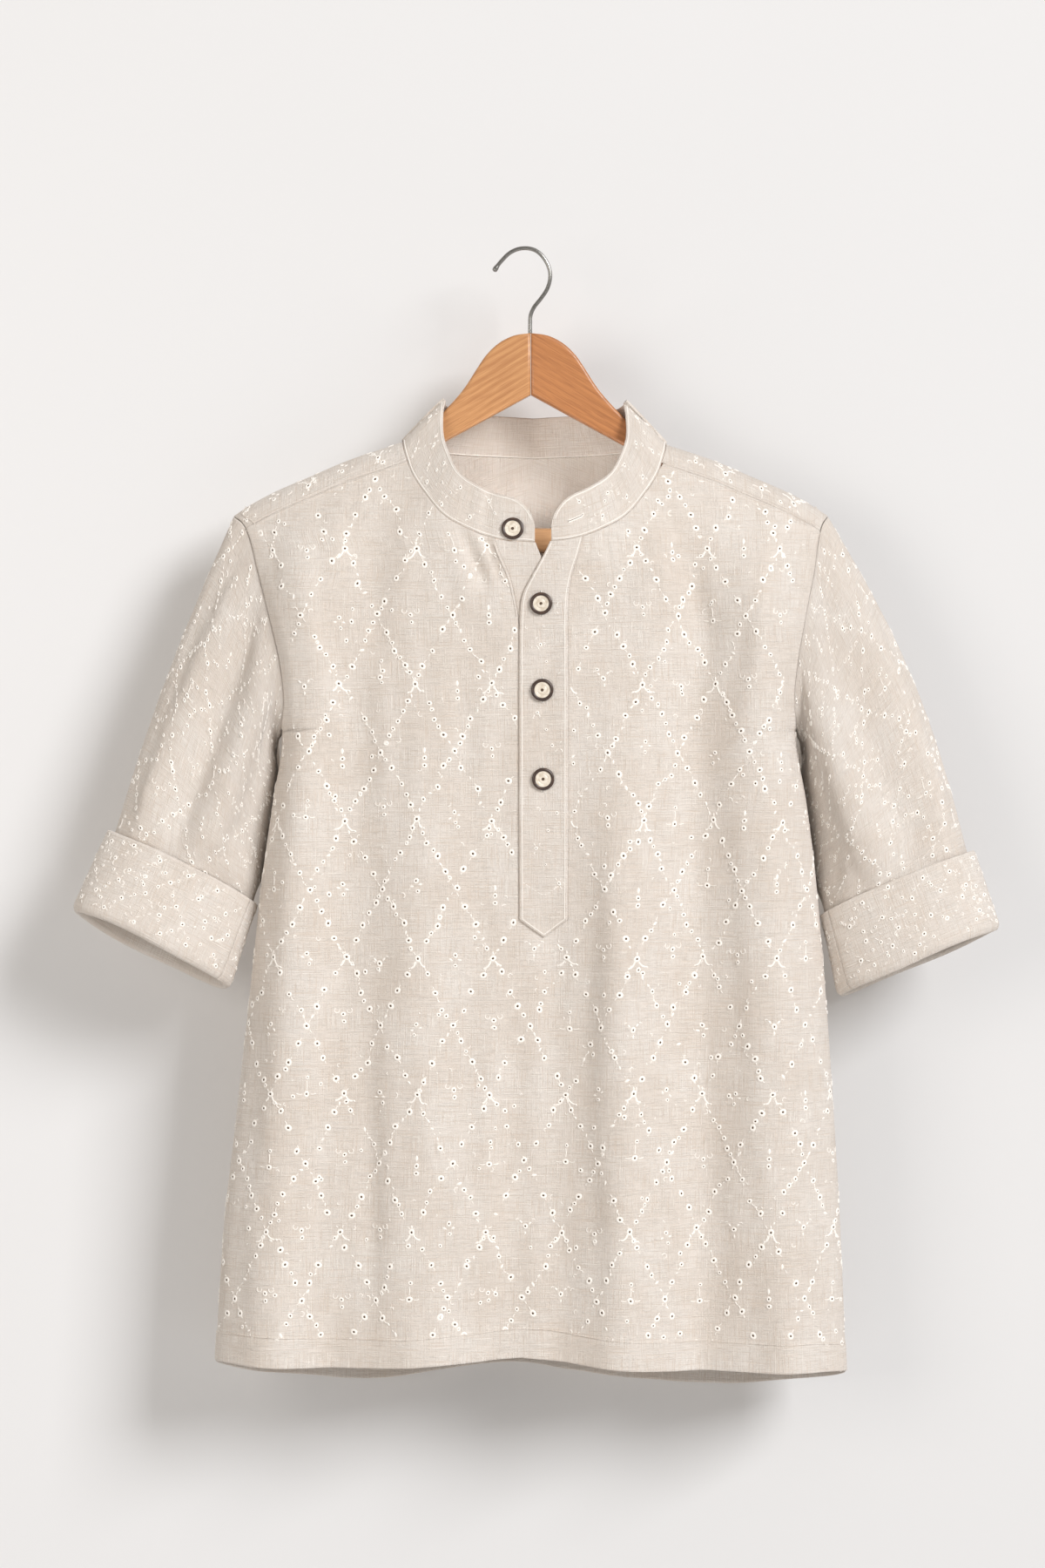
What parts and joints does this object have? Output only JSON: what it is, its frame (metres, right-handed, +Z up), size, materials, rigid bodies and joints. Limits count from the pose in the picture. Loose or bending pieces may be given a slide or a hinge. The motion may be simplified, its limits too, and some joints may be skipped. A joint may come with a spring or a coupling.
{
  "type": "kurta on a hanger",
  "caption": "Short linen kurta with band collar, buttoned placket and turned-up cuffs, hanging on a wooden hanger with a wire hook.",
  "frame": {"origin": "the point inside the top of the hanger's hook that bears on the nail, rail or wall hook it hangs from", "axes": "+Z up, -Y the way the kurta's front faces, +X towards the wearer's left"},
  "size_m": [0.7386, 0.1182, 0.9193],
  "materials": {
    "linen": "cream linen with slubs, embroidered with small eyelets in off-white thread",
    "button": "dark brown rim round a cream inlay",
    "wood": "clear satin lacquer over warm brown timber",
    "steel": "bright plated wire"
  },
  "bodies": {
    "root": {"front_panel": "linen", "back_panel": "linen", "yoke": "linen", "collar_band": "linen", "placket_over": "linen", "placket_under": "linen", "sleeve_right": "linen", "cuff_right": "linen", "sleeve_left": "linen", "cuff_left": "linen", "button_1": "button", "button_2": "button", "button_3": "button", "button_4": "button", "hanger_arm_right": "wood", "hanger_arm_left": "wood", "hanger_bar": "wood", "hanger_hook": "steel"}
  },
  "joints": []
}
